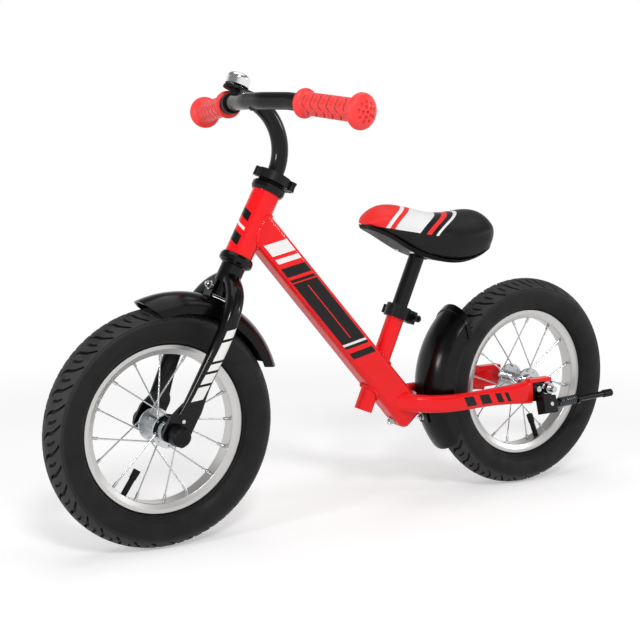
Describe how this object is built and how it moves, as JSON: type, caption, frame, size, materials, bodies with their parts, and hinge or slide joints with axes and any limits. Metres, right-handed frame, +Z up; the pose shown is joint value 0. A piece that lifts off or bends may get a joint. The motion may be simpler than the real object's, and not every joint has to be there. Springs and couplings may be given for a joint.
{
  "type": "balance bike",
  "caption": "Small pedal-less training bicycle with spoked wheels, steered fork, height-adjustable saddle and handlebar, fenders, bell and fold-down kickstand.",
  "frame": {"origin": "on the ground, midway between the two axles, in the bike's middle plane", "axes": "+X forward, +Y to the rider's left, +Z up"},
  "size_m": [0.903, 0.4248, 0.6069],
  "materials": {
    "frame_paint": "gloss red enamel",
    "black_paint": "gloss black enamel",
    "clamp_black": "satin black anodised",
    "fender_plastic": "gloss black moulding",
    "black_plastic": "satin black moulding",
    "grip_rubber": "matt coral red",
    "tyre_rubber": "matt black",
    "tube_rubber": "matt black",
    "rim_alloy": "satin",
    "zinc_steel": "bright zinc plated",
    "bearing_steel": "polished",
    "bell_chrome": "mirror",
    "spring_steel": "black oxide",
    "saddle_cover": "soft grained vinyl"
  },
  "bodies": {
    "frame": {"head_tube": "frame_paint", "main_tube": "frame_paint", "seat_tube": "frame_paint", "chainstay_left": "frame_paint", "chainstay_right": "frame_paint", "headset_lower_cup": "black_paint", "headset_upper_cup": "black_paint", "seat_clamp_collar": "clamp_black", "seat_clamp_skewer": "zinc_steel", "rear_fender": "fender_plastic", "rear_fender_bracket": "zinc_steel", "rear_fender_bolts": "zinc_steel", "rear_axle": "zinc_steel", "rear_axle_nuts": "zinc_steel", "rear_hub_bearings": "bearing_steel", "kickstand_bracket": "black_paint", "kickstand_pivot_pin": "zinc_steel", "kickstand_bolt": "zinc_steel"},
    "fork": {"fork_steerer": "black_paint", "fork_blade_left": "black_paint", "fork_blade_right": "black_paint", "headset_races": "bearing_steel", "handlebar_clamp_collar": "clamp_black", "handlebar_clamp_skewer": "zinc_steel", "front_fender": "fender_plastic", "front_fender_bolt": "zinc_steel", "front_axle": "zinc_steel", "front_axle_nuts": "zinc_steel", "front_axle_caps": "black_plastic", "front_hub_bearings": "bearing_steel"},
    "handlebar": {"handlebar_stem": "black_paint", "handlebar_bar": "black_paint", "grip_left": "grip_rubber", "grip_right": "grip_rubber", "bell_base": "black_plastic", "bell_dome": "bell_chrome", "bell_screw": "bell_chrome"},
    "handlebar_clamp_lever": {"handlebar_clamp_lever": "clamp_black"},
    "bell_lever": {"bell_lever": "black_plastic"},
    "front_wheel": {"front_tyre": "tyre_rubber", "front_inner_tube": "tube_rubber", "front_rim": "rim_alloy", "front_spokes": "zinc_steel", "front_hub": "zinc_steel", "front_valve_cap": "black_plastic"},
    "rear_wheel": {"rear_tyre": "tyre_rubber", "rear_inner_tube": "tube_rubber", "rear_rim": "rim_alloy", "rear_spokes": "zinc_steel", "rear_hub": "zinc_steel", "rear_valve_cap": "black_plastic"},
    "seat": {"seat_post": "black_paint", "saddle_base": "black_plastic", "saddle_pad": "saddle_cover", "saddle_screws": "zinc_steel"},
    "seat_clamp_lever": {"seat_clamp_lever": "clamp_black"},
    "kickstand": {"kickstand_leg": "black_paint", "kickstand_spring": "spring_steel", "kickstand_foot": "black_plastic"}
  },
  "joints": [
    {"name": "steering", "type": "hinge", "parent": "frame", "child": "fork", "pos_m": [0.296, 0, 0.1555], "axis": [-0.4648, 0, 0.8854], "range_deg": [-90, 90]},
    {"name": "front_wheel_spin", "type": "hinge", "parent": "fork", "child": "front_wheel", "pos_m": [0.296, 0, 0.1555], "axis": [0, 1, 0], "continuous": true},
    {"name": "rear_wheel_spin", "type": "hinge", "parent": "frame", "child": "rear_wheel", "pos_m": [-0.296, 0, 0.1555], "axis": [0, 1, 0], "continuous": true},
    {"name": "handlebar_height", "type": "slide", "parent": "fork", "child": "handlebar", "axis": [-0.4648, 0, 0.8854], "range_m": [0, 0.04]},
    {"name": "handlebar_clamp_release", "type": "hinge", "parent": "fork", "child": "handlebar_clamp_lever", "pos_m": [0.1115, 0.013, 0.45637], "axis": [-0.4648, 0, 0.8854], "range_deg": [0, 120]},
    {"name": "bell_ring", "type": "hinge", "parent": "handlebar", "child": "bell_lever", "pos_m": [0.13756, -0.0853, 0.56108], "axis": [-0.3483, -0.0383, 0.9366], "range_deg": [0, 25], "stiffness_Nm_per_rad": 0.02},
    {"name": "seat_height", "type": "slide", "parent": "frame", "child": "seat", "axis": [-0.3875, 0, 0.9219], "range_m": [-0.05, 0.03]},
    {"name": "seat_clamp_release", "type": "hinge", "parent": "frame", "child": "seat_clamp_lever", "pos_m": [-0.09073, -0.013, 0.26795], "axis": [0.3875, 0, -0.9219], "range_deg": [0, 120]},
    {"name": "kickstand_fold", "type": "hinge", "parent": "frame", "child": "kickstand", "pos_m": [-0.29, 0.073, 0.1327], "axis": [0, -0.9563, -0.2924], "range_deg": [0, 90]}
  ]
}
